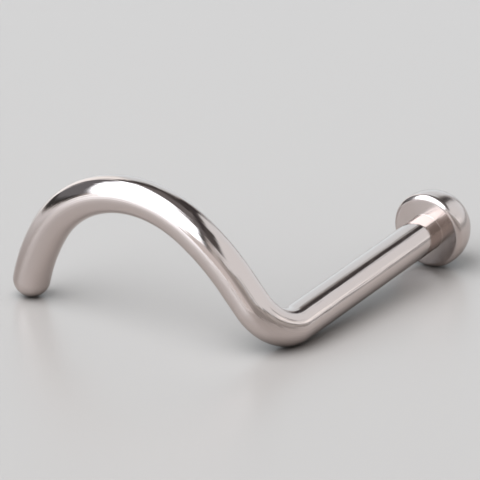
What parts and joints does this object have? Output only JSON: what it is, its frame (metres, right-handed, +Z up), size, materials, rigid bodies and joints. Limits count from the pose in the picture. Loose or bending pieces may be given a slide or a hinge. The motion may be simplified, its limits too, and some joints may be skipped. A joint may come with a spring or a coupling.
{
  "type": "nose screw",
  "caption": "Polished steel nose screw: a low domed head on a straight wire post with a quarter bend and an open hook, lying on a surface.",
  "frame": {"origin": "under the middle of the box round the jewel, on the surface that it lies on", "axes": "+X along the jewel's longest side, from the hook to the head; +Y away from the hook's open side, across the jewel; +Z up from the surface that it lies on"},
  "size_m": [0.012, 0.0076, 0.004],
  "materials": {
    "polished_steel": "mirror polished stainless steel wire, with fine hairline wear and a slightly softer shine on the head"
  },
  "bodies": {
    "root": {"nose_screw": "polished_steel"}
  },
  "joints": []
}
